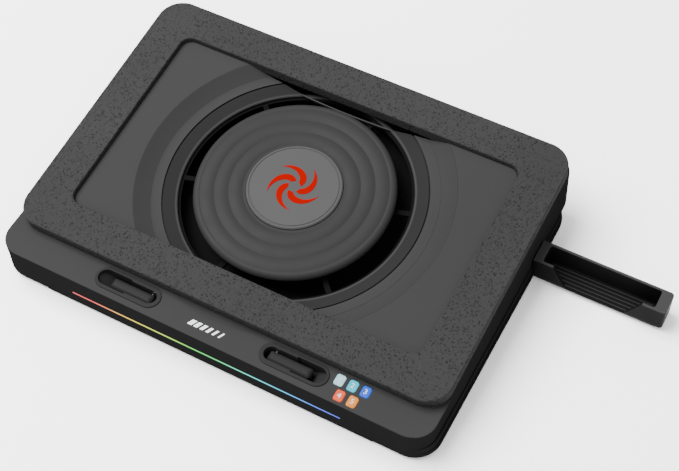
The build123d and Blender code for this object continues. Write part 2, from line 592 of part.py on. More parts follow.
# ---------------------------------------------------------------- keys, switches and control board
KEY_TOP, KEY_FOOT, STEM_FOOT, BOARD_Z = BASE_TOP + 0.7, BASE_TOP - 3.9, BASE_TOP - 7.5, BASE_TOP - 14.1
BOARD_W, BOARD_D, BOARD_T = 39.0, 22.0, 1.6
BOARD_X, BOARD_Y = KEY_X + 12.4, SEAL_FRONT - KEY_DY - KEY_ROW / 2
for number, (x, y) in enumerate(KEYS, start=1):
    with BuildPart() as key:
        with BuildSketch(level(KEY_FOOT)):
            with Locations((x, y)):
                RectangleRounded(KEY_W, KEY_D, 1.8)
        extrude(amount=KEY_TOP - KEY_FOOT)
        fillet(key.edges().group_by(Axis.Z)[-1], radius=0.5)
        with BuildSketch(level(KEY_FOOT)):
            with Locations((x, y)):
                RectangleRounded(KEY_W + 1.4, KEY_D + 1.4, 1.8)
        extrude(amount=0.9)
        with BuildSketch(level(STEM_FOOT)):
            with Locations((x, y)):
                Circle(1.5)
        extrude(amount=KEY_FOOT - STEM_FOOT)
    key.part.label = f"key_{number}"
    export_step(key.part, f"parts/key_{number}.step")

with BuildPart() as control_board:
    with BuildSketch(level(BOARD_Z)):
        with Locations((BOARD_X, BOARD_Y)):
            Rectangle(BOARD_W, BOARD_D)
    extrude(amount=BOARD_T)
control_board.part.label = "control_board"
export_step(control_board.part, "parts/control_board.step")

with BuildPart() as key_switches:
    with BuildSketch(level(BOARD_Z + BOARD_T)):
        with Locations(*KEYS):
            Rectangle(6, 6)
    extrude(amount=3.4)
    with BuildSketch(level(BOARD_Z + 5.0)):
        with Locations(*KEYS):
            Circle(1.6)
    extrude(amount=0.9)
key_switches.part.label = "key_switches"
export_step(key_switches.part, "parts/key_switches.step")

# ---------------------------------------------------------------- flip-up stoppers
RIM_UP, TUB_FLOOR, TUB_SKIN = 1.0, BASE_TOP - 11.5, 1.2
ARM_Z = TUB_FLOOR + 1.9 + ARM_T / 2              # height of the pin's axis
PIN_IN = 19.0                                    # pin, inwards from the recess's middle
PIN_R, PIN_HALF = 1.0, 7.4


def stopper_cavity(side):
    """Space inside a stopper tub: wide at the finger scoop, narrow beside the arm."""
    with BuildPart() as space:
        with BuildSketch(level(TUB_FLOOR)):
            with Locations((side * STOP_X, STOP_Y)):
                SlotOverall(STOP_L - 4.4, STOP_W - 5.6)
            with Locations((side * (STOP_X - 20), STOP_Y)):
                Rectangle(40, STOP_W, mode=Mode.SUBTRACT)
            with Locations((side * STOP_X, STOP_Y)):
                SlotOverall(STOP_L - 7.0, ARM_W + 2.2)
        extrude(amount=20)
        # the scoop's ramp rises to the outer end
        with BuildSketch(facing_front(STOP_Y)):
            with BuildLine():
                Polyline((side * (STOP_X + 14.6), TUB_FLOOR), (side * (STOP_X + 28.5), BASE_TOP - 1.0),
                         (side * (STOP_X + 28.5), TUB_FLOOR), close=True)
            make_face()
        extrude(amount=STOP_W, both=True, mode=Mode.SUBTRACT)
    return space.part


for name, side in STOPPERS.items():
    pin_x = side * (STOP_X - PIN_IN)
    with BuildPart() as bezel:
        with BuildSketch(level(TUB_FLOOR - TUB_SKIN)):
            with Locations((side * STOP_X, STOP_Y)):
                SlotOverall(TUB_L - 2 * GAP, TUB_W - 2 * GAP)
        extrude(amount=BASE_TOP - TUB_FLOOR + TUB_SKIN)
        with BuildSketch(level(BASE_TOP)):
            with Locations((side * STOP_X, STOP_Y)):
                SlotOverall(STOP_L, STOP_W)
        extrude(amount=RIM_UP)
        fillet(bezel.edges().group_by(Axis.Z)[-1], radius=0.6)
        add(stopper_cavity(side), mode=Mode.SUBTRACT)
        with BuildSketch(facing_front(STOP_Y)):
            with Locations((pin_x, ARM_Z)):
                Circle(PIN_R)
        extrude(amount=PIN_HALF, both=True, mode=Mode.SUBTRACT)
    bezel.part.label = f"stopper_bezel_{name}"
    export_step(bezel.part, f"parts/stopper_bezel_{name}.step")

    with BuildPart() as arm:
        with BuildSketch(facing_front(STOP_Y)):
            with Locations((pin_x + side * (ARM_L - ARM_T) / 2, ARM_Z)):
                SlotOverall(ARM_L, ARM_T)
        extrude(amount=ARM_W / 2 + 1, both=True)
        with BuildSketch(level(0)):
            with Locations((pin_x + side * (ARM_L - ARM_T) / 2, STOP_Y)):
                SlotOverall(ARM_L + 1.2, ARM_W)
        extrude(amount=BASE_TOP + 5, mode=Mode.INTERSECT)
        with BuildSketch(facing_side(side * STOP_X)):
            with Locations((STOP_Y, ARM_Z)):
                RectangleRounded(ARM_W, ARM_T, ARM_ROUND)
        extrude(amount=STOP_L, both=True, mode=Mode.INTERSECT)
        with BuildSketch(facing_front(STOP_Y)):
            with Locations((pin_x, ARM_Z)):
                Circle(PIN_R + 0.05)
        extrude(amount=ARM_W, both=True, mode=Mode.SUBTRACT)
    arm.part.label = f"stopper_arm_{name}"
    export_step(arm.part, f"parts/stopper_arm_{name}.step")

    with BuildPart() as pin:
        with BuildSketch(facing_front(STOP_Y)):
            with Locations((pin_x, ARM_Z)):
                Circle(PIN_R)
        extrude(amount=PIN_HALF, both=True)
    pin.part.label = f"stopper_pin_{name}"
    export_step(pin.part, f"parts/stopper_pin_{name}.step")

# ---------------------------------------------------------------- sockets at the rear
REAR = BASE_D / 2
with BuildPart() as port_panel:
    with BuildSketch(facing_front(REAR)):
        with Locations((PANEL_X, PORT_Z)):
            RectangleRounded(PANEL_W - 2 * GAP, PANEL_H - 2 * GAP, 1.5)
        for x, w, h in PORTS.values():
            with Locations((x, PORT_Z)):
                Rectangle(w, h, mode=Mode.SUBTRACT)
    extrude(amount=1.2)
port_panel.part.label = "port_panel"
export_step(port_panel.part, "parts/port_panel.step")

for name, (x, w, h) in PORTS.items():
    with BuildPart() as socket:
        with BuildSketch(facing_front(REAR - 0.2)):
            with Locations((x, PORT_Z)):
                Rectangle(w, h)
        extrude(amount=14)
        with BuildSketch(facing_front(REAR)):
            with Locations((x, PORT_Z)):
                if name == "dc_socket":
                    Circle(2.8)
                else:
                    Rectangle(w - 1.0, h - 1.0)
        extrude(amount=12, mode=Mode.SUBTRACT)
        with BuildSketch(facing_front(REAR - 2)):
            if name == "dc_socket":
                with Locations((x, PORT_Z)):
                    Circle(0.7)
            else:
                with Locations((x, PORT_Z + 1.7)):
                    Rectangle(w - 3.0, 1.4)
        extrude(amount=11)
    socket.part.label = name
    export_step(socket.part, f"parts/{name}.step")

# ---------------------------------------------------------------- phone tray and its guide
TRAY_TOP = TRAY_Z + TRAY_H
TRAY_MID = (TRAY_IN + TRAY_OUT) / 2
WELL_IN, WELL_OUT, TRAY_FLOOR = 206.0, 302.4, 2.0
TAIL_L, TAIL_W, TAIL_H = 6.1, 8.8, 12.0
CUT_TOP, CUT_LOW = (215.0, 293.0), (228.5, 280.0)
with BuildPart() as phone_tray:
    with BuildSketch(level(TRAY_Z)):
        with Locations((TRAY_MID, TRAY_Y)):
            Rectangle(TRAY_OUT - TRAY_IN, TRAY_W)
    extrude(amount=TRAY_H)
    outer_corners = phone_tray.edges().filter_by(Axis.Z).group_by(Axis.X)[-1]
    fillet(outer_corners, radius=3.0)
    long_edges = phone_tray.edges().filter_by(Axis.X).group_by(Axis.Z)[0]
    fillet(long_edges, radius=2.0)
    # stepped underside at the outer end
    with BuildSketch(facing_front(TRAY_Y)):
        with Locations((TRAY_OUT - 2.8, TRAY_Z)):
            Rectangle(5.6, 4.0)
    extrude(amount=TRAY_W, both=True, mode=Mode.SUBTRACT)
    # well for the phone
    with BuildSketch(level(TRAY_Z + TRAY_FLOOR)):
        with Locations(((WELL_IN + WELL_OUT) / 2, TRAY_Y)):
            RectangleRounded(WELL_OUT - WELL_IN, TRAY_W - 2 * TRAY_WALL, 2.0)
    extrude(amount=TRAY_H, mode=Mode.SUBTRACT)
    # low middle of the front wall, with sloped ends
    with BuildSketch(facing_front(TRAY_Y)):
        with BuildLine():
            Polyline((CUT_TOP[0], TRAY_TOP + 1), (CUT_LOW[0], TRAY_Z + TRAY_FLOOR),
                     (CUT_LOW[1], TRAY_Z + TRAY_FLOOR), (CUT_TOP[1], TRAY_TOP + 1), close=True)
        make_face()
    extrude(amount=TRAY_W, mode=Mode.SUBTRACT)
    # ribs along the floor
    with BuildSketch(level(TRAY_Z + TRAY_FLOOR)):
        with Locations(((WELL_IN + WELL_OUT) / 2, TRAY_Y - 0.8)):
            with GridLocations(1, 3.6, 1, 5):
                Rectangle(WELL_OUT - WELL_IN - 8, 1.0)
    extrude(amount=0.8)
    # tail that stays in the guide
    with BuildSketch(level(TRAY_Z + 2)):
        with Locations((TRAY_IN - TAIL_L / 2 + 0.5, TRAY_Y + (TRAY_W - TAIL_W) / 2)):
            Rectangle(TAIL_L + 1, TAIL_W)
    extrude(amount=TAIL_H)
phone_tray.part.label = "phone_tray"
export_step(phone_tray.part, "parts/phone_tray.step")

RAIL_T, RAIL_END = 1.6, BASE_W / 2 - WALL - GAP
BRIDGES = (112.0, 184.0)
with BuildPart() as tray_guide:
    with BuildSketch(level(FLOOR_Z + FLOOR_T + 0.1)):
        with Locations(((104 + RAIL_END) / 2, TRAY_Y - TRAY_W / 2 - 0.5 - RAIL_T / 2)):
            Rectangle(RAIL_END - 104, RAIL_T)
        with Locations(((92 + RAIL_END) / 2, TRAY_Y + TRAY_W / 2 + 0.5 + RAIL_T / 2)):
            Rectangle(RAIL_END - 92, RAIL_T)
    extrude(amount=TRAY_TOP + 0.6 - FLOOR_Z - FLOOR_T)
    with BuildSketch(level(TRAY_TOP + 0.5)):
        for x in BRIDGES:
            with Locations((x, TRAY_Y)):
                Rectangle(12, TRAY_W + 1 + 2 * RAIL_T)
    extrude(amount=1.6)
tray_guide.part.label = "tray_guide"
export_step(tray_guide.part, "parts/tray_guide.step")
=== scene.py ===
# %% [markdown]
# # A laptop cooling pad
# This lesson dresses a finished CAD model of a foam-sealed laptop cooling pad. The CAD holds the sizes
# and the joints, so nothing here moves a part. We load it first.

# %% Load the imported model
import json
from math import cos, pi, radians, sin

import bmesh
import bpy
import numpy as np
from mathutils import Matrix, Vector


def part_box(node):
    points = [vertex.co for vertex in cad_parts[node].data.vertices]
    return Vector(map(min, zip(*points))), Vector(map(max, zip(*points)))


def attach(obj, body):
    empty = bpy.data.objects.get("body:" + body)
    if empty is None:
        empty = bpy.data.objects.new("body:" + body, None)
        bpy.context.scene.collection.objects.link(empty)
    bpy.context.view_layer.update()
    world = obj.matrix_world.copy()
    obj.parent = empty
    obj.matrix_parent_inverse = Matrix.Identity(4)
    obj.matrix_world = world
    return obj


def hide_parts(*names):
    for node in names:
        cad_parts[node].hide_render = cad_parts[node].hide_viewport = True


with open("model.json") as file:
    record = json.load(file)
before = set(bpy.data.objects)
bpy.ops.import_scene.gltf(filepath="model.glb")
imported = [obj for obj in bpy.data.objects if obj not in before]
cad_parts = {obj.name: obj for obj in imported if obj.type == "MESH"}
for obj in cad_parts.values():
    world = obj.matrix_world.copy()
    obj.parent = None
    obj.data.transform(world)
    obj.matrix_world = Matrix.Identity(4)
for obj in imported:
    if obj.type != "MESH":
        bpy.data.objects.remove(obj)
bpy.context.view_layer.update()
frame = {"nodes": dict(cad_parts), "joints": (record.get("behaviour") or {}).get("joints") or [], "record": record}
nodes = frame["nodes"]
joints = {joint["name"]: joint for joint in frame["joints"]}
mounts = {mount["name"]: mount for mount in frame["record"]["mounts"]}
MM = 0.001
print("loaded", len(nodes), "pieces")

# %% [markdown]
# The deck slopes, so most pieces are easiest to place in its own directions: U across, V up the slope
# and W out of the deck. The fan's axis gives W, and the face that the laptop rests on gives the height.
# Where the two meet is the middle of the seal's top, and everything on the deck is placed from there.

# %% The deck's own directions
UP = Vector(joints["fan_spin"]["axis"]).normalized()
ACROSS = Vector((1, 0, 0))
ALONG = UP.cross(ACROSS).normalized()
fan_point = Vector(joints["fan_spin"]["pos_m"])
face_point = Vector(mounts["laptop_face"]["pos_m"])
SEAL_MIDDLE = fan_point + UP * (face_point - fan_point).dot(UP)
print("middle of the seal:", [round(value, 4) for value in SEAL_MIDDLE])

# %% [markdown]
# The camera stands to the right of the pad and looks down on it from the front. A long lens keeps the
# sides nearly parallel, as product pictures do. We write its place in metres, and its turn in degrees.

# %% Camera
CAMERA_PLACE = (0.3304, -0.5625, 0.9839)
CAMERA_TURN = (34.537, 1.735, 28.449)
CAMERA_LENS = 74.47

camera_data = bpy.data.cameras.new("camera")
camera_data.lens = CAMERA_LENS
camera_data.sensor_width = 36
camera = bpy.data.objects.new("camera", camera_data)
camera.location = CAMERA_PLACE
camera.rotation_euler = [radians(angle) for angle in CAMERA_TURN]
bpy.context.scene.collection.objects.link(camera)
bpy.context.scene.camera = camera

# %% [markdown]
# A pale sheet of paper makes the floor. Two large area lamps and a bright, even sky give the soft light
# of a product table: dark plastic needs broad lamps, because small ones only make hard dots on it. The
# main lamp hangs high on the left, where the camera cannot see its mirror image in the deck.

# %% Floor and light
FLOOR_SIZE = 8.0
PAPER = 0.92
SKY_STRENGTH = 1.6
LAMPS = {  # name: place, size and power
    "lamp_top": ((-1.0, -0.1, 1.9), 1.6, 200),
    "lamp_front": ((0.9, -1.6, 1.2), 1.2, 8),
}


def node_material(name):
    """An empty node material, its tree and its surface shader."""
    material = bpy.data.materials.new(name)
    material.use_nodes = True
    tree = material.node_tree
    return material, tree, tree.nodes["Principled BSDF"]


def add_floor():
    """A large flat sheet just under the feet."""
    mesh = bpy.data.meshes.new("floor")
    half = FLOOR_SIZE / 2
    corners = [(-half, -half, 0), (half, -half, 0), (half, half, 0), (-half, half, 0)]
    mesh.from_pydata(corners, [], [(0, 1, 2, 3)])
    floor = bpy.data.objects.new("floor", mesh)
    bpy.context.scene.collection.objects.link(floor)
    paper, _, shader = node_material("pale_paper")
    shader.inputs["Base Color"].default_value = (PAPER, PAPER, PAPER, 1)
    shader.inputs["Roughness"].default_value = 0.9
    mesh.materials.append(paper)


def add_lamp(name, place, size, power):
    """A square soft box that faces the middle of the floor."""
    data = bpy.data.lights.new(name, "AREA")
    data.size = size
    data.energy = power
    lamp = bpy.data.objects.new(name, data)
    lamp.location = place
    lamp.rotation_euler = (-Vector(place)).to_track_quat("-Z", "Y").to_euler()
    bpy.context.scene.collection.objects.link(lamp)


add_floor()
for name, (place, size, power) in LAMPS.items():
    add_lamp(name, place, size, power)
world = bpy.data.worlds.new("studio")
world.use_nodes = True
world.node_tree.nodes["Background"].inputs["Color"].default_value = (1, 1, 1, 1)
world.node_tree.nodes["Background"].inputs["Strength"].default_value = SKY_STRENGTH
bpy.context.scene.world = world
print("floor and", len(LAMPS), "lamps")

# %% [markdown]
# All the finishes are small shader trees, and the same few steps come back in each of them: a noise in
# the object's own coordinates, a change of range, a mix of two tones and a bump. We name those steps
# once. Object coordinates keep the grain's size in metres, so that it is as fine on a key as on the deck.

# %% Steps of a shader tree
NOISE_LOW, NOISE_HIGH = 0.3, 0.7     # nearly all of a noise lies between these
GRAIN_DEPTH = 0.4                    # millimetres


def coordinates(tree):
    """The tree's texture coordinates, made when they are first asked for."""
    return tree.nodes.get("Texture Coordinate") or tree.nodes.new("ShaderNodeTexCoord")


def one_axis(tree, source, axis):
    """One axis of the object's own coordinates, or of the face's direction."""
    split = tree.nodes.new("ShaderNodeSeparateXYZ")
    tree.links.new(coordinates(tree).outputs[source], split.inputs["Vector"])
    return split.outputs[axis]


def noise(tree, scale, detail=2.0, rough=0.5):
    """A noise in object coordinates."""
    texture = tree.nodes.new("ShaderNodeTexNoise")
    texture.inputs["Scale"].default_value = scale
    texture.inputs["Detail"].default_value = detail
    texture.inputs["Roughness"].default_value = rough
    tree.links.new(coordinates(tree).outputs["Object"], texture.inputs["Vector"])
    return texture.outputs["Fac"]


def remap(tree, value, low, high, new_low=0.0, new_high=1.0):
    """Maps a value from one range onto another."""
    change = tree.nodes.new("ShaderNodeMapRange")
    change.inputs["From Min"].default_value = low
    change.inputs["From Max"].default_value = high
    change.inputs["To Min"].default_value = new_low
    change.inputs["To Max"].default_value = new_high
    tree.links.new(value, change.inputs["Value"])
    return change.outputs["Result"]


def stretch(tree, source, low=0.0, high=1.0):
    """Spreads a noise over a whole range."""
    return remap(tree, source, NOISE_LOW, NOISE_HIGH, low, high)


def two_tones(tree, value, dark, light):
    """Turns a 0 to 1 value into a colour between two tones."""
    mix = tree.nodes.new("ShaderNodeMix")
    mix.data_type = "RGBA"
    mix.inputs["A"].default_value = (*dark, 1)
    mix.inputs["B"].default_value = (*light, 1)
    tree.links.new(value, mix.inputs["Factor"])
    return mix.outputs["Result"]


def mottled(tree, colour, scale, detail, darkest, lightest):
    """A colour that wanders between two shares of itself with a noise."""
    dark = [part * darkest for part in colour]
    light = [min(1, part * lightest) for part in colour]
    return two_tones(tree, stretch(tree, noise(tree, scale, detail)), dark, light)


def bumped(tree, shader, height, strength):
    """Lets a value raise the surface a little."""
    bump = tree.nodes.new("ShaderNodeBump")
    bump.inputs["Strength"].default_value = strength
    bump.inputs["Distance"].default_value = GRAIN_DEPTH * MM
    tree.links.new(height, bump.inputs["Height"])
    tree.links.new(bump.outputs["Normal"], shader.inputs["Normal"])


print("steps of a shader tree are ready")

# %% [markdown]
# Moulded plastic is never one flat colour. Its tool leaves a fine even grain, the surface turns a little
# glossier where hands and cloths rub it, and its tone drifts slowly over a large part. One function builds
# this from three noises, and each part only names its own numbers. Black plastic shows mostly the light
# that its skin mirrors, so the shine is kept low, or the pad turns gray.

# %% Moulded plastic
def moulded(name, tone, rough=0.5, grain=900, grain_height=0.05, drift=0.03,
            tint=(1.0, 1.0, 1.02), shine=0.08):
    """Matt moulded plastic of one tone."""
    material, tree, shader = node_material(name)
    shader.inputs["Specular IOR Level"].default_value = shine
    colour = [tone * part for part in tint]
    wander = mottled(tree, colour, scale=9, detail=3, darkest=1 - drift, lightest=1 + drift)
    tree.links.new(wander, shader.inputs["Base Color"])
    rubbed = stretch(tree, noise(tree, scale=60, detail=4), rough - 0.04, rough + 0.05)
    tree.links.new(rubbed, shader.inputs["Roughness"])
    bumped(tree, shader, noise(tree, grain, detail=3, rough=0.6), grain_height)
    return material


print("moulded plastic is ready")

# %% [markdown]
# The fan's shaft, the sockets and the screws are metal. Metal has no colour below its skin, so its tone
# goes into the reflection, and a noise in the roughness makes the uneven polish of a turned or stamped
# part.

# %% Metal
def metal(name, colour, rough, grain=400):
    """Bare or plated metal with fine uneven polish."""
    material, tree, shader = node_material(name)
    shader.inputs["Metallic"].default_value = 1.0
    wander = mottled(tree, colour, scale=40, detail=3, darkest=0.88, lightest=1.06)
    tree.links.new(wander, shader.inputs["Base Color"])
    polish = stretch(tree, noise(tree, grain, detail=2), rough - 0.06, rough + 0.08)
    tree.links.new(polish, shader.inputs["Roughness"])
    return material


print("metal is ready")

# %% [markdown]
# The deck gets painted light and shade in rings round the fan: a painted highlight on the outlet's lip,
# painted shade on the groove's ring and a little painted shade on the sloping ramp. A ring is a range of
# distances from the fan's axis, so we measure that distance in the shader and look up a share of the
# tone for it. The shares are a short table, which is easier to change than many mixed nodes.

# %% Painted light and shade in rings round the fan
# each stop: distance from the axis in millimetres, share of the tone; above 1 is painted highlight, below 1
# painted shade
DECK_LIGHT_AND_SHADE = [(0.0, 1.3), (100.6, 1.3), (101.2, 0.6), (111.0, 0.6), (111.5, 1.06), (119.5, 1.0),
              (121.0, 0.95), (133.6, 0.88), (134.8, 1.0), (400.0, 1.0)]


def colour_ramp(tree, value, stops):
    """Looks a 0 to 1 value up in a list of (place, colour) stops."""
    ramp = tree.nodes.new("ShaderNodeValToRGB")
    elements = ramp.color_ramp.elements
    while len(elements) < len(stops):
        elements.new(0.5)
    for element, (place, colour) in zip(elements, stops):
        element.position = place
        element.color = (*colour, 1)
    tree.links.new(value, ramp.inputs["Fac"])
    return ramp.outputs["Color"]


def vector_math(tree, operation, first, second=None):
    """One step of vector arithmetic on a socket, with a constant where it needs one."""
    step = tree.nodes.new("ShaderNodeVectorMath")
    step.operation = operation
    tree.links.new(first, step.inputs[0])
    if second is not None:
        step.inputs[1].default_value = second
    return step


def stepped(tree, value, tones):
    """Maps a length onto shares of a tone: a list of (length in millimetres, share)."""
    longest = tones[-1][0]
    stops = [(distance / longest, (share, share, share)) for distance, share in tones]
    return colour_ramp(tree, remap(tree, value, 0, longest * MM), stops)


def scale_tone(material, share):
    """Multiplies what already feeds a finish's colour by a value of the same tree."""
    tree = material.node_tree
    shader = tree.nodes["Principled BSDF"]
    scale = vector_math(tree, "SCALE", shader.inputs["Base Color"].links[0].from_socket)
    tree.links.new(share, scale.inputs["Scale"])
    tree.links.new(scale.outputs["Vector"], shader.inputs["Base Color"])
    return material


def ringed(material, tones):
    """Paints light and shade on a finish in rings round the fan."""
    tree = material.node_tree
    offset = vector_math(tree, "SUBTRACT", coordinates(tree).outputs["Object"], SEAL_MIDDLE)
    # the distance from the axis is the length of the cross product with its direction
    across = vector_math(tree, "CROSS_PRODUCT", offset.outputs["Vector"], UP)
    radius = vector_math(tree, "LENGTH", across.outputs["Vector"])
    return scale_tone(material, stepped(tree, radius.outputs["Value"], tones))


print("rings:", [distance for distance, share in DECK_LIGHT_AND_SHADE])

# %% [markdown]
# The deck's shell gets painted shade on its sides, because less light falls on faces that do not look up,
# and the face's own direction tells a side from the top. The tray gets painted highlights the other way
# round: its ribs and the rim round its top catch the light, and they are told by their height.

# %% Painted shade on sides, painted highlights on ribs and rims
# painted shade: faces that do not look up get this share of the tone
SIDE_SHADE_SHARE, SIDE_FROM, SIDE_TO = 0.4, 0.45, 0.85     # upward part of the face's direction
# each stop: height above the table in millimetres, share of the tone; the light bands are painted highlights
TRAY_HIGHLIGHT_TONES = [(0.0, 0.9), (5.3, 0.9), (5.5, 3.2), (6.2, 3.2), (6.4, 0.8), (26.6, 0.8),
              (26.9, 4.6), (30.0, 4.6)]


def darker_sides(material):
    """Paints shade on a finish's faces that do not look up."""
    tree = material.node_tree
    return scale_tone(material, remap(tree, one_axis(tree, "Normal", "Z"), SIDE_FROM, SIDE_TO, SIDE_SHADE_SHARE))


def lighter_edges(material):
    """Paints highlights on the tray's ribs and the rim round its top."""
    tree = material.node_tree
    return scale_tone(material, stepped(tree, one_axis(tree, "Object", "Z"), TRAY_HIGHLIGHT_TONES))


print("ribs and rims:", [height for height, share in TRAY_HIGHLIGHT_TONES])

# %% [markdown]
# Now each finish of the pad is one line: a name, how light it is, and how rough. The tones are close
# together, because the pad is all black plastic, and only the emblem disc and the cover are lighter.

# %% The pad's finishes
deck_plastic = darker_sides(ringed(moulded("deck_plastic", 0.0185, rough=0.6, shine=0.0), DECK_LIGHT_AND_SHADE))
shell_base = moulded("shell_base", 0.0075, rough=0.5, shine=0.0)
cover_plastic = moulded("cover_plastic", 0.013, rough=0.5, shine=0.03)
emblem_plastic = moulded("emblem_plastic", 0.03, rough=0.42, shine=0.03)
# partly their own black plastic, partly painted shade: the parts inside the pad are toned far darker than the deck
# for the deep shade they sit in
inner_plastic = moulded("inner_plastic", 0.0035, rough=0.6, shine=0.0)
socket_plastic = moulded("socket_plastic", 0.006, rough=0.5)
tray_plastic = lighter_edges(moulded("tray_plastic", 0.0048, rough=0.42, shine=0.02))
trim_plastic = moulded("trim_plastic", 0.0105, rough=0.45, shine=0.02)
fascia_plastic = moulded("fascia_plastic", 0.0075, rough=0.45, shine=0.0)
rubber = moulded("rubber", 0.005, rough=0.8, grain=1500, grain_height=0.12)
steel = metal("steel", (0.56, 0.56, 0.58), 0.3)
black_screw = metal("black_screw", (0.06, 0.06, 0.065), 0.42)
bearing_brass = metal("bearing_brass", (0.72, 0.55, 0.28), 0.32)
core_steel = metal("core_steel", (0.34, 0.25, 0.18), 0.45)
solder_mask = moulded("solder_mask", 0.05, rough=0.35, tint=(0.25, 1.0, 0.4))
print("plastics, rubber and metals are ready")

# %% [markdown]
# Each CAD piece keeps its shape and only gets its finish. A table of finish and pieces says it in one
# place.

# %% Dress the CAD pieces
FINISHES = {
    shell_base: ["bottom_shell", "port_panel", "intake_grille"],
    trim_plastic: ["stopper_bezel_left", "stopper_bezel_right", "stopper_arm_left", "stopper_arm_right"],
    deck_plastic: ["top_shell", "deck_dish"],
    cover_plastic: ["fan_cover"],
    emblem_plastic: ["emblem_disc"],
    inner_plastic: ["cover_spider", "impeller", "fan_housing", "tray_guide", "key_switches"],
    socket_plastic: ["dc_socket"],
    tray_plastic: ["phone_tray"],
    fascia_plastic: ["front_fascia"],
    rubber: ["rubber_foot_front_left", "rubber_foot_front_right", "rubber_foot_rear_left",
             "rubber_foot_rear_right"],
    steel: ["fan_shaft", "rotor_cup", "bearing_upper", "bearing_lower", "usb_socket_1", "usb_socket_2",
            "stopper_pin_left", "stopper_pin_right"],
    black_screw: ["case_screws", "housing_screws"],
    bearing_brass: ["bearing_tube"],
    core_steel: ["motor_stator"],
    solder_mask: ["control_board", "light_board"],
}


def dress(node, material):
    """Gives a CAD piece one finish."""
    slots = nodes[node].data.materials
    slots.clear()
    slots.append(material)


for material, names in FINISHES.items():
    for name in names:
        dress(name, material)
print("dressed", sum(len(names) for names in FINISHES.values()), "pieces")

# %% [markdown]
# The light bar is a strip of milky plastic with a row of lamps behind it, one colour running into the
# next. The colour follows the place along the bar, so the finish reads the object's X coordinate, maps it
# onto 0 to 1 between the bar's two ends, and looks it up in a rainbow of stops. A lit strip is nearly
# black plastic that glows: light base colours would only wash the rainbow out.

# %% Light bar
BAR_GLOW = 1.4
BAR_STOPS = [(0.0, (1.0, 0.0, 0.01)), (0.08, (1.0, 0.01, 0.0)), (0.15, (1.0, 0.28, 0.0)),
             (0.25, (1.0, 0.8, 0.0)), (0.36, (0.55, 1.0, 0.0)), (0.46, (0.03, 0.9, 0.01)),
             (0.56, (0.0, 0.85, 0.15)), (0.67, (0.0, 0.85, 0.7)), (0.8, (0.0, 0.55, 1.0)),
             (0.9, (0.0, 0.15, 1.0)), (1.0, (0.0, 0.03, 0.8))]


def light_bar_finish():
    """Glowing plastic whose colour runs along X."""
    low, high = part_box("light_guide")
    material, tree, shader = node_material("light_bar")
    along = remap(tree, one_axis(tree, "Object", "X"), low.x, high.x)
    glow = colour_ramp(tree, along, BAR_STOPS)
    tree.links.new(glow, shader.inputs["Emission Color"])
    shader.inputs["Base Color"].default_value = (0.004, 0.004, 0.004, 1)
    shader.inputs["Specular IOR Level"].default_value = 0.1
    shader.inputs["Emission Strength"].default_value = BAR_GLOW
    shader.inputs["Roughness"].default_value = 0.3
    return material


dress("light_guide", light_bar_finish())
print("light bar with", len(BAR_STOPS), "colours")

# %% [markdown]
# The five keys are lit from below through coloured plastic. Each has a small number, so a plain digit is
# turned from text into a mesh and laid a hair above the key. It rides on the key and sinks with it.

# %% Keys and their numbers
KEY_COLOURS = [(0.5, 0.85, 1.0), (0.0, 0.62, 0.8), (0.0, 0.1, 0.75), (1.0, 0.09, 0.01),
               (1.0, 0.3, 0.01)]
DIGIT_HEIGHT, DIGIT_HALF_THICK, DIGIT_LIFT = 4.4, 0.06, 0.04     # millimetres
TEXT_SIZE = 1.4                                  # a font's size over the height of its digits
KEY_GLOW, DIGIT_GLOW = 1.3, 1.6


def glowing(name, colour, strength):
    """Lit plastic of one colour, a little uneven."""
    material, tree, shader = node_material(name)
    wander = mottled(tree, colour, scale=220, detail=2, darkest=0.85, lightest=1.1)
    tree.links.new(wander, shader.inputs["Emission Color"])
    shader.inputs["Base Color"].default_value = (*[value * 0.05 for value in colour], 1)
    shader.inputs["Specular IOR Level"].default_value = 0.15
    shader.inputs["Emission Strength"].default_value = strength
    shader.inputs["Roughness"].default_value = 0.3
    return material


def put(mesh_or_data, name):
    """A new object at the origin."""
    piece = bpy.data.objects.new(name, mesh_or_data)
    bpy.context.scene.collection.objects.link(piece)
    return piece


def digit(number, centre):
    """One digit as a thin mesh, flat on the level strip, its middle at the centre."""
    text = bpy.data.curves.new(f"digit_{number}", "FONT")
    text.body = str(number)
    text.size = DIGIT_HEIGHT * MM * TEXT_SIZE
    text.extrude = DIGIT_HALF_THICK * MM
    text.resolution_u = 6
    source = put(text, "text_source")
    mesh = bpy.data.meshes.new_from_object(source.evaluated_get(bpy.context.evaluated_depsgraph_get()))
    bpy.data.objects.remove(source)
    co = np.array([v.co for v in mesh.vertices])
    middle = (co.max(0) + co.min(0)) / 2
    mesh.transform(Matrix.Translation(Vector(centre) - Vector((middle[0], middle[1], 0))))
    return put(mesh, f"key_digit_{number}")


digit_white = glowing("digit_white", (0.9, 0.95, 1.0), DIGIT_GLOW)
for number, colour in enumerate(KEY_COLOURS, start=1):
    node = f"key_{number}"
    dress(node, glowing(f"key_light_{number}", colour, KEY_GLOW))
    low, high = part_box(node)
    mark = digit(number, ((low.x + high.x) / 2, (low.y + high.y) / 2, high.z + DIGIT_LIFT * MM))
    mark.data.materials.append(digit_white)
    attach(mark, node)
print("five keys lit and numbered")

# %% [markdown]
# The seal is open-cell foam: a soft rounded ring, peppered with small dark pores. We sweep one cross
# section round the ring, between the inner outline and the outer one, as a dense even mesh. First come the
# two outlines and the section.

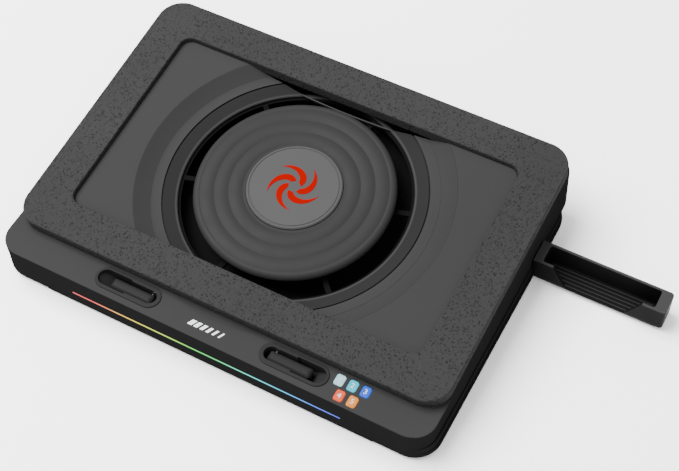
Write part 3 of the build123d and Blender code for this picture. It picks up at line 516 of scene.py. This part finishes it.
# %% Foam seal
# millimetres, in the deck's own directions
SEAL_HALF = (196.5, 126.75)
WELL_HALF = (161.75, 93.75)
SEAL_CORNER, WELL_CORNER = 22.0, 10.0
SEAL_THICK = 10.8
EDGE_ROUND = 1.3
CELL = 0.62                          # about the distance between two points of the mesh
CORNER_STEPS = 36
PORE_COUNT = 9000
PORE_RADIUS, PORE_DEPTH = (0.35, 0.75), (0.3, 0.8)
PORE_FORM = 0.6                      # 1 makes a cone, and less makes a rounder pit
PORE_REACH = 2                       # points on each side that a pore can pull in
PORE_SEED, SKIN_SEED = 41, 7
SKIN_SINK, SKIN_UNEVEN = 0.15, 0.05  # the torn skin lies a little inside the moulded size
# painted shade: a pore is painted darker the deeper it is, fully at this depth
PORE_SHADE_DEPTH = 0.5                      # a pore of this depth is fully dark


def rounded(half, corner, steps):
    """A closed rounded rectangle with the same number of points on matching sides and corners."""
    points = []
    for turn in range(4):
        start = turn * pi / 2
        sign_x, sign_y = ((1, 1), (-1, 1), (-1, -1), (1, -1))[turn]
        centre = np.array([sign_x * (half[0] - corner), sign_y * (half[1] - corner)])
        bend = start + np.linspace(0, pi / 2, steps[2], endpoint=False)[:, None]
        points.append(centre + corner * np.hstack([np.cos(bend), np.sin(bend)]))
        sign_x, sign_y = ((-1, 1), (-1, -1), (1, -1), (1, 1))[turn]
        following = np.array([sign_x * (half[0] - corner), sign_y * (half[1] - corner)])
        end = start + pi / 2
        edge = corner * np.array([cos(end), sin(end)])
        share = np.linspace(0, 1, steps[turn % 2], endpoint=False)[:, None]
        points.append(centre + edge + (following - centre) * share)
    return np.vstack(points)


def foam_section():
    """(share across the ring, height) round the foam's cross section, from the foot of the inner wall."""
    width = SEAL_HALF[0] - WELL_HALF[0]
    edge = EDGE_ROUND / width
    wall = np.linspace(-SEAL_THICK, -EDGE_ROUND, int(SEAL_THICK / CELL))
    bend = np.linspace(0, pi / 2, 5)[1:-1]
    top = np.linspace(edge, 1 - edge, int(width / CELL))
    inner = [(0.0, h) for h in wall]
    inner += [(edge * (1 - cos(a)), -EDGE_ROUND * (1 - sin(a))) for a in bend]
    outer = [(1 - share, h) for share, h in reversed(inner)]
    return np.array(inner + [(s, 0.0) for s in top] + outer)


print("foam section:", len(foam_section()), "points")

# %% [markdown]
# Random pits then push single points inwards, so the pores are real shape. The dice are seeded, because
# the foam has to come out the same each time. Each point moves along its own outward direction: up on the
# top face, and sideways on the walls and the rounded edges.

# %% Pores of the foam
def scatter_pores(flat, height):
    """Depth of the pores, in millimetres, at each point of the foam."""
    dice = np.random.default_rng(PORE_SEED)
    depth = np.zeros(height.shape)
    rows, columns = height.shape
    row = dice.integers(0, rows, PORE_COUNT)
    column = dice.integers(1, columns - 1, PORE_COUNT)
    radius = dice.uniform(*PORE_RADIUS, PORE_COUNT)
    deep = dice.uniform(*PORE_DEPTH, PORE_COUNT)
    for r, c, size, d in zip(row, column, radius, deep):
        near_rows = np.arange(r - PORE_REACH, r + PORE_REACH + 1) % rows
        near_columns = np.arange(max(c - PORE_REACH, 0), min(c + PORE_REACH + 1, columns))
        cells = np.ix_(near_rows, near_columns)
        apart = np.hypot(*(np.moveaxis(flat[cells], 2, 0) - flat[r, c][:, None, None]))
        apart = np.hypot(apart, height[cells] - height[r, c])
        depth[cells] = np.maximum(depth[cells], d * np.clip(1 - apart / size, 0, 1) ** PORE_FORM)
    return depth


def build_foam():
    """Points of the foam ring, and the depth of its pores."""
    steps = (int(2 * SEAL_HALF[0] / CELL), int(2 * SEAL_HALF[1] / CELL), CORNER_STEPS)
    outer = rounded(SEAL_HALF, SEAL_CORNER, steps)
    inner = rounded(WELL_HALF, WELL_CORNER, steps)
    shape = foam_section()
    share = shape[None, :, 0, None]
    flat = inner[:, None, :] * (1 - share) + outer[:, None, :] * share
    height = np.repeat(shape[None, :, 1], len(outer), 0)
    outward = np.zeros((*height.shape, 3))
    on_top = shape[:, 1] == 0.0
    outward[:, on_top] = (0, 0, 1)
    direction = (outer - inner) / np.linalg.norm(outer - inner, axis=1)[:, None]
    for column in np.flatnonzero(~on_top):
        outward[:, column, :2] = direction if shape[column, 0] > 0.5 else -direction
    depth = scatter_pores(flat, height)
    uneven = np.random.default_rng(SKIN_SEED).normal(0, SKIN_UNEVEN, height.shape)
    lift = -SKIN_SINK + uneven - depth
    points = np.concatenate([flat, height[..., None]], axis=2) + outward * lift[..., None]
    return points, depth


foam_points, pore_depth = build_foam()
print("foam points:", pore_depth.size, "deepest pore:", round(float(pore_depth.max()), 2), "mm")

# %% [markdown]
# The grid of points becomes a closed mesh: each point joins the next one of its section and the next
# section. The pits are written to an attribute as well, which the finish reads to paint shade in them.

# %% Mesh of the foam
rows, columns = pore_depth.shape
middle, across, along, up = (np.array(value) for value in (SEAL_MIDDLE, ACROSS, ALONG, UP))
places = middle + foam_points @ np.array([across, along, up]) * MM
index = np.arange(rows * columns).reshape(rows, columns)
right, below = np.roll(index, -1, 1), np.roll(index, -1, 0)
faces = np.stack([index, right, np.roll(right, -1, 0), below], axis=2).reshape(-1, 4)
foam_mesh = bpy.data.meshes.new("foam_ring")
foam_mesh.from_pydata(places.reshape(-1, 3), [], faces.tolist())
pore_shade_layer = foam_mesh.attributes.new("pore", "FLOAT", "POINT")
pore_shade_layer.data.foreach_set("value", np.clip(pore_depth.ravel() / PORE_SHADE_DEPTH, 0, 1).astype(np.float32))
worker = bmesh.new()
worker.from_mesh(foam_mesh)
bmesh.ops.recalc_face_normals(worker, faces=worker.faces)
worker.to_mesh(foam_mesh)
worker.free()
foam_mesh.polygons.foreach_set("use_smooth", [True] * len(foam_mesh.polygons))
foam = put(foam_mesh, "foam_ring")
print("foam ring:", len(foam_mesh.polygons), "faces")

# %% [markdown]
# Foam is dull and swallows light in its cells. Its finish is a dark tone that drifts slowly, a finer noise
# for the cells that are too small to model, and painted shade, near black, in the pores. It then takes
# the place of the plain ring of the CAD. The foam is soft filling, which a laptop presses down.

# %% Foam finish
FOAM_DARK, FOAM_LIGHT = (0.0156, 0.0156, 0.0158), (0.0172, 0.0172, 0.0174)
CELL_SHARES = (0.8, 1.15)                    # shares of the foam's tone in its finest cells
# painted shade: the pores are mixed towards this near-black tone
PORE_SHADE_TONE = 0.0045


def gray(tone):
    """A neutral colour."""
    return (tone, tone, tone)


def mixed(tree, first, second, blend="MIX"):
    """Mixes two colours; a colour is a socket or a constant."""
    mix = tree.nodes.new("ShaderNodeMix")
    mix.data_type = "RGBA"
    mix.blend_type = blend
    mix.inputs["Factor"].default_value = 1.0
    tree.links.new(first, mix.inputs["A"])
    if isinstance(second, tuple):
        mix.inputs["B"].default_value = (*second, 1)
    else:
        tree.links.new(second, mix.inputs["B"])
    return mix


def foam_finish():
    """Dark open-cell foam: painted shade in the pores from the attribute, finer cells from a noise."""
    material, tree, shader = node_material("foam_finish")
    pore = tree.nodes.new("ShaderNodeAttribute")
    pore.attribute_name = "pore"
    base = two_tones(tree, stretch(tree, noise(tree, scale=12, detail=3)), FOAM_DARK, FOAM_LIGHT)
    cells = noise(tree, scale=700, detail=3, rough=0.7)
    shares = two_tones(tree, stretch(tree, cells), *[gray(share) for share in CELL_SHARES])
    speck = mixed(tree, base, shares, "MULTIPLY")
    # painted shade in the pores, read from the attribute
    dark = mixed(tree, speck.outputs["Result"], gray(PORE_SHADE_TONE))
    tree.links.new(pore.outputs["Fac"], dark.inputs["Factor"])
    tree.links.new(dark.outputs["Result"], shader.inputs["Base Color"])
    shader.inputs["Roughness"].default_value = 0.95
    shader.inputs["Specular IOR Level"].default_value = 0.06
    bumped(tree, shader, cells, strength=0.5)
    return material


foam_mesh.materials.append(foam_finish())
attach(foam, "base")
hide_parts("foam_seal")
print("the foam ring takes the place of foam_seal")

# %% [markdown]
# The disc in the middle of the cover carries a plain red swirl, like the blades of a fan. One blade is
# drawn between two spirals, wide at the middle and pointed at the rim, and gets a little thickness, as an
# inlay of red plastic has.

# %% One blade of the swirl
BLADE_INNER, BLADE_OUTER = 5.5, 23.0         # millimetres from the middle
BLADE_TWIST, BLADE_WIDTH = 74.0, 44.0        # degrees
BLADE_TAPER = 2.2
BLADE_STEPS = 20
INLAY_THICK = 0.2


def plates(name, outlines, thick):
    """Flat plates of one thickness in millimetres, each from an outline of points in metres."""
    worker = bmesh.new()
    for outline in outlines:
        face = worker.faces.new([worker.verts.new(point) for point in outline])
        raised = bmesh.ops.extrude_face_region(worker, geom=[face])
        moved = [item for item in raised["geom"] if isinstance(item, bmesh.types.BMVert)]
        bmesh.ops.translate(worker, verts=moved, vec=(0, 0, thick * MM))
    bmesh.ops.recalc_face_normals(worker, faces=worker.faces)
    bmesh.ops.triangulate(worker, faces=worker.faces)
    mesh = bpy.data.meshes.new(name)
    worker.to_mesh(mesh)
    worker.free()
    return mesh


def blade_mesh():
    """One curved blade, flat, in metres, as a thin plate."""
    lead, trail = [], []
    for step in range(BLADE_STEPS + 1):
        share = step / BLADE_STEPS
        radius = BLADE_INNER + (BLADE_OUTER - BLADE_INNER) * share
        angle = radians(BLADE_TWIST * share)
        width = radians(BLADE_WIDTH) * (1 - share ** BLADE_TAPER)
        lead.append(Vector((radius * cos(angle), radius * sin(angle), 0)) * MM)
        trail.append(Vector((radius * cos(angle - width), radius * sin(angle - width), 0)) * MM)
    return plates("blade", [lead + trail[-2::-1]], INLAY_THICK)


blade = put(blade_mesh(), "blade_source")
print("blade:", len(blade.data.vertices), "points")

# %% [markdown]
# A small node tree turns copies of the blade about the middle, because a swirl is one shape repeated. The
# number of blades is a named input of the tree. The tree runs once on an empty object, and we keep its
# result as a plain mesh. The swirl lies on the disc, so it is placed by the disc's highest point.

# %% Swirl on the disc
BLADE_COUNT = 5
FILM_GAP = 0.02                              # keeps a thin piece just clear of the face below it


def top_of(node):
    """Height of a CAD piece's highest point above the seal's top face, in metres."""
    return max((vertex.co - SEAL_MIDDLE).dot(UP) for vertex in nodes[node].data.vertices)


def new_tree(name, sizes):
    """An empty node tree with named inputs, and the identifier of each."""
    tree = bpy.data.node_groups.new(name, "GeometryNodeTree")
    names = {}
    tree.interface.new_socket("Geometry", in_out="INPUT", socket_type="NodeSocketGeometry")
    for label, kind in sizes:
        names[label] = tree.interface.new_socket(label, in_out="INPUT", socket_type=kind).identifier
    tree.interface.new_socket("Geometry", in_out="OUTPUT", socket_type="NodeSocketGeometry")
    return tree, names, tree.nodes.new("NodeGroupInput"), tree.nodes.new("NodeGroupOutput")


def bake(tree, values, names, name):
    """Runs a tree on an empty object and returns its result as a plain mesh object."""
    host = put(bpy.data.meshes.new(name), name + "_host")
    modifier = host.modifiers.new("nodes", "NODES")
    modifier.node_group = tree
    for label, value in values.items():
        modifier[names[label]] = value
    mesh = bpy.data.meshes.new_from_object(host.evaluated_get(bpy.context.evaluated_depsgraph_get()))
    bpy.data.objects.remove(host)
    mesh.name = name
    return put(mesh, name)


def calculate(tree, operation, first, second):
    """One step of arithmetic; a value is a socket or a constant."""
    step = tree.nodes.new("ShaderNodeMath")
    step.operation = operation
    for place, value in enumerate((first, second)):
        if isinstance(value, (int, float)):
            step.inputs[place].default_value = value
        else:
            tree.links.new(value, step.inputs[place])
    return step.outputs["Value"]


def finish_copies(tree, copies, material, out):
    """Ends a tree: the copies become one real mesh of one finish."""
    real = tree.nodes.new("GeometryNodeRealizeInstances")
    finish = tree.nodes.new("GeometryNodeSetMaterial")
    finish.inputs["Material"].default_value = material
    tree.links.new(copies, real.inputs["Geometry"])
    tree.links.new(real.outputs["Geometry"], finish.inputs["Geometry"])
    tree.links.new(finish.outputs["Geometry"], out.inputs["Geometry"])


def swirl_tree(blade, material):
    """Copies of a blade, turned evenly about the middle."""
    tree, names, given, out = new_tree("swirl", [("Blades", "NodeSocketInt")])
    line = tree.nodes.new("GeometryNodeMeshLine")
    line.inputs["Offset"].default_value = (0, 0, 0)
    tree.links.new(given.outputs["Blades"], line.inputs["Count"])
    part = tree.nodes.new("GeometryNodeObjectInfo")
    part.inputs["Object"].default_value = blade
    place = tree.nodes.new("GeometryNodeInstanceOnPoints")
    index = tree.nodes.new("GeometryNodeInputIndex")
    step = calculate(tree, "DIVIDE", 2 * pi, given.outputs["Blades"])
    angles = tree.nodes.new("ShaderNodeCombineXYZ")
    tree.links.new(calculate(tree, "MULTIPLY", index.outputs["Index"], step), angles.inputs["Z"])
    tree.links.new(line.outputs["Mesh"], place.inputs["Points"])
    tree.links.new(part.outputs["Geometry"], place.inputs["Instance"])
    tree.links.new(angles.outputs["Vector"], place.inputs["Rotation"])
    finish_copies(tree, place.outputs["Instances"], material, out)
    return tree, names


red_inlay = moulded("red_inlay", 0.15, rough=0.4, tint=(1.0, 0.0, 0.0), shine=0.0)
tree, names = swirl_tree(blade, red_inlay)
swirl = bake(tree, {"Blades": BLADE_COUNT}, names, "red_swirl")
bpy.data.objects.remove(blade)
deck_turn = Matrix((ACROSS, ALONG, UP)).transposed().to_4x4()
disc_top = top_of("emblem_disc")
swirl.data.transform(Matrix.Translation(SEAL_MIDDLE + UP * (disc_top + FILM_GAP * MM)) @ deck_turn)
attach(swirl, "base")
print("swirl:", len(swirl.data.polygons), "faces")

# %% [markdown]
# A small white mark is printed on the front strip. It has no letters: six slanted bars that get narrower.
# Each bar is a thin plate made from its four corners, with the same function as the blades.

# %% Mark on the front strip
BAR_COUNT, BAR_HEIGHT, BAR_PITCH, BAR_SLANT = 6, 5.2, 5.6, 2.6
BAR_WIDE, BAR_NARROWING = 0.72, 0.09         # shares of the pitch
PRINT_THICK = 0.05
MARK_FORWARD = 15                            # millimetres in front of the foam


def mark_mesh():
    """A row of slanted bars about the origin, in metres."""
    bars = []
    for number in range(BAR_COUNT):
        left = (number - BAR_COUNT / 2) * BAR_PITCH
        right = left + BAR_PITCH * (BAR_WIDE - BAR_NARROWING * number)
        low, high = -BAR_HEIGHT / 2, BAR_HEIGHT / 2
        corners = [(left, low), (right, low), (right + BAR_SLANT, high), (left + BAR_SLANT, high)]
        bars.append([(x * MM, y * MM, 0) for x, y in corners])
    return plates("front_mark", bars, PRINT_THICK)


seal_low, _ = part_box("foam_seal")
mark_place = (SEAL_MIDDLE.x, seal_low.y - MARK_FORWARD * MM, seal_low.z + FILM_GAP * MM)
mark = put(mark_mesh(), "front_mark")
mark.data.transform(Matrix.Translation(mark_place))
mark.data.materials.append(moulded("white_print", 0.5, rough=0.5, shine=0.1))
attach(mark, "base")
print("mark:", BAR_COUNT, "bars")

# %% [markdown]
# The fan draws its air through a woven screen behind the intake grille. Real screens are thin crossed
# wires, so the tree lays a small cross of two wires on each point of a grid, inside a circle. The pitch,
# the wire and the radius are named inputs. The piece takes the place of the plain disc in the CAD.

# %% Dust screen
SCREEN_PITCH, SCREEN_WIRE = 2.9, 0.32
WIRE_SHIFT = 0.1                             # one layer of wires lies above the other


def screen_tree(material):
    """Crossed wires on a round grid."""
    sizes = [("Radius", "NodeSocketFloat"), ("Pitch", "NodeSocketFloat"),
             ("Wire", "NodeSocketFloat"), ("Count", "NodeSocketInt")]
    tree, names, given, out = new_tree("screen", sizes)
    gaps = calculate(tree, "SUBTRACT", given.outputs["Count"], 1)
    width = calculate(tree, "MULTIPLY", gaps, given.outputs["Pitch"])
    grid = tree.nodes.new("GeometryNodeMeshGrid")
    for side in ("Size X", "Size Y"):
        tree.links.new(width, grid.inputs[side])
    for side in ("Vertices X", "Vertices Y"):
        tree.links.new(given.outputs["Count"], grid.inputs[side])
    place = tree.nodes.new("GeometryNodeInputPosition")
    length = vector_math(tree, "LENGTH", place.outputs["Position"])
    outside = tree.nodes.new("FunctionNodeCompare")
    outside.operation = "GREATER_THAN"
    tree.links.new(length.outputs["Value"], outside.inputs["A"])
    tree.links.new(given.outputs["Radius"], outside.inputs["B"])
    trim = tree.nodes.new("GeometryNodeDeleteGeometry")
    tree.links.new(grid.outputs["Mesh"], trim.inputs["Geometry"])
    tree.links.new(outside.outputs["Result"], trim.inputs["Selection"])
    join = tree.nodes.new("GeometryNodeJoinGeometry")
    for long_side, lift in (("X", 1), ("Y", -1)):
        wire = tree.nodes.new("GeometryNodeMeshCube")
        size = tree.nodes.new("ShaderNodeCombineXYZ")
        for side in ("X", "Y", "Z"):
            source = "Pitch" if side == long_side else "Wire"
            tree.links.new(given.outputs[source], size.inputs[side])
        tree.links.new(size.outputs["Vector"], wire.inputs["Size"])
        shift = tree.nodes.new("GeometryNodeTransform")
        shift.inputs["Translation"].default_value = (0, 0, WIRE_SHIFT * MM * lift)
        tree.links.new(wire.outputs["Mesh"], shift.inputs["Geometry"])
        tree.links.new(shift.outputs["Geometry"], join.inputs["Geometry"])
    copies = tree.nodes.new("GeometryNodeInstanceOnPoints")
    tree.links.new(trim.outputs["Geometry"], copies.inputs["Points"])
    tree.links.new(join.outputs["Geometry"], copies.inputs["Instance"])
    finish_copies(tree, copies.outputs["Instances"], material, out)
    return tree, names


screen_nylon = moulded("screen_nylon", 0.02, rough=0.5, grain=2000)
low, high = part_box("dust_filter")
screen_radius = (high.x - low.x) / 2 - SCREEN_PITCH * MM / 2
tree, names = screen_tree(screen_nylon)
screen_sizes = {"Radius": screen_radius, "Pitch": SCREEN_PITCH * MM, "Wire": SCREEN_WIRE * MM,
                "Count": int(2 * screen_radius / (SCREEN_PITCH * MM)) + 1}
screen = bake(tree, screen_sizes, names, "dust_screen")
screen.data.transform(Matrix.Translation((low + high) / 2))
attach(screen, "base")
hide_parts("dust_filter")
print("dust screen:", len(screen.data.polygons), "faces")
